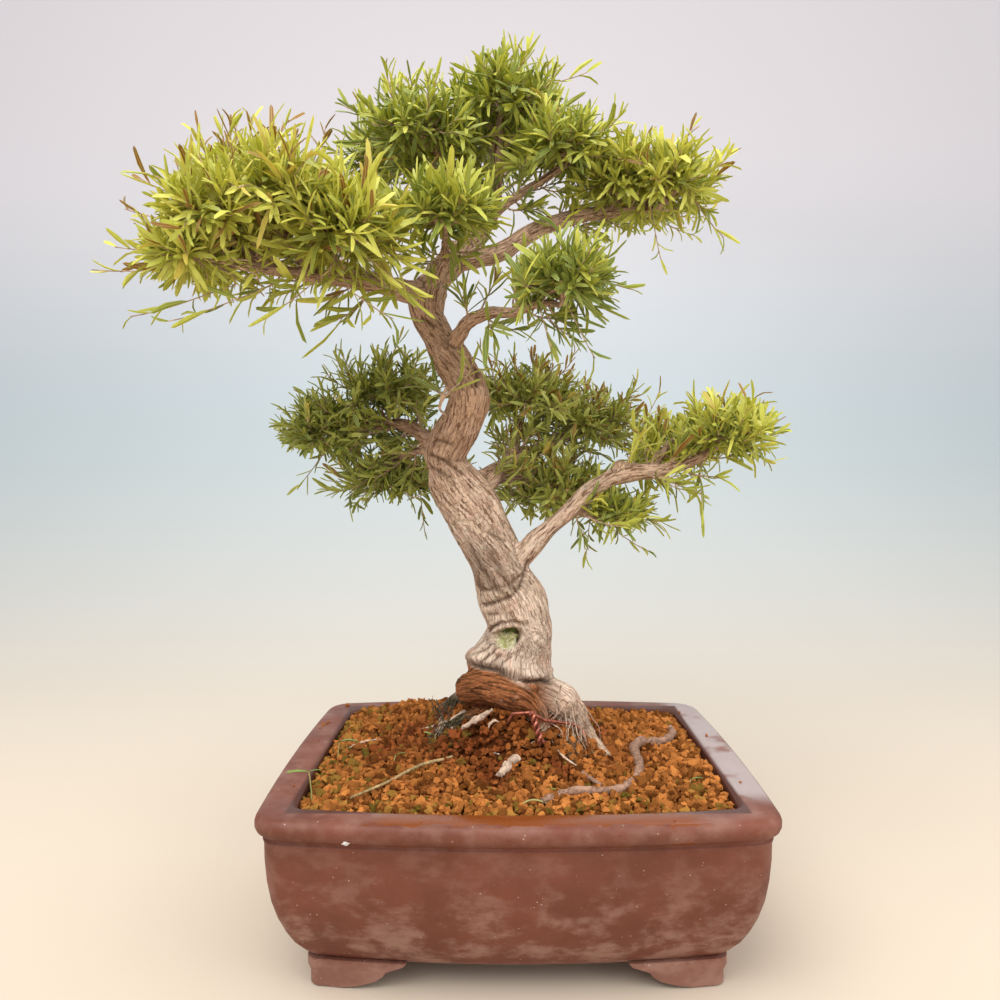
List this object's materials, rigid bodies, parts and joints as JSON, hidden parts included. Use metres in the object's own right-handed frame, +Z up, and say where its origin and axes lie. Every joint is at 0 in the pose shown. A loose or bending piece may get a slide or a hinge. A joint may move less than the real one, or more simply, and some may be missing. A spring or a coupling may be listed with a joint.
{
  "type": "willow leaf fig bonsai",
  "caption": "Informal upright fig bonsai with a curving trunk and pads of narrow leaves, standing with its soil in an unglazed rectangular clay pot on cloud feet.",
  "frame": {"origin": "middle of the whole plant's box, at the height of the surface that the pot's feet stand on", "axes": "+Z up, -Y towards the front of the pot, +X to the right as seen from the front"},
  "size_m": [0.5194, 0.3196, 0.6834],
  "materials": {
    "clay": "unglazed fired brown clay with a paler weathered bloom",
    "soil": "loose ochre granules of fired clay soil, partly damp",
    "netting": "plain black netting",
    "copper": "soft annealed copper wire, slightly dulled",
    "bark": "pale fissured bark",
    "dead_wood": "dry weathered root wood",
    "sun_leaf": "waxy yellow-green leaf",
    "shade_leaf": "waxy darker green leaf"
  },
  "bodies": {
    "root": {"pot": "clay", "soil": "soil", "drain_mesh_left": "netting", "drain_mesh_right": "netting", "tie_wire": "copper", "trunk": "bark", "surface_root": "dead_wood", "root_stub": "dead_wood", "fallen_twig_left": "dead_wood", "fallen_twig_right": "dead_wood", "spray_left_tip": "sun_leaf", "spray_left_outer": "sun_leaf", "spray_left_front": "sun_leaf", "spray_left_inner": "sun_leaf", "spray_left_top": "sun_leaf", "spray_left_rear": "sun_leaf", "spray_crown_top": "sun_leaf", "spray_crown_left": "sun_leaf", "spray_crown_right": "sun_leaf", "spray_crown_back": "sun_leaf", "spray_crown_rear": "sun_leaf", "spray_crown_front": "sun_leaf", "spray_right_tip": "sun_leaf", "spray_right_inner": "sun_leaf", "spray_right_back": "sun_leaf", "spray_middle": "sun_leaf", "spray_back_left_tip": "shade_leaf", "spray_back_left_top": "shade_leaf", "spray_back_left_low": "shade_leaf", "spray_back_right_top": "shade_leaf", "spray_back_right_tip": "shade_leaf", "spray_back_right_low": "shade_leaf", "spray_low_tip": "sun_leaf", "spray_low_inner": "sun_leaf", "spray_low_back": "sun_leaf"}
  },
  "joints": []
}
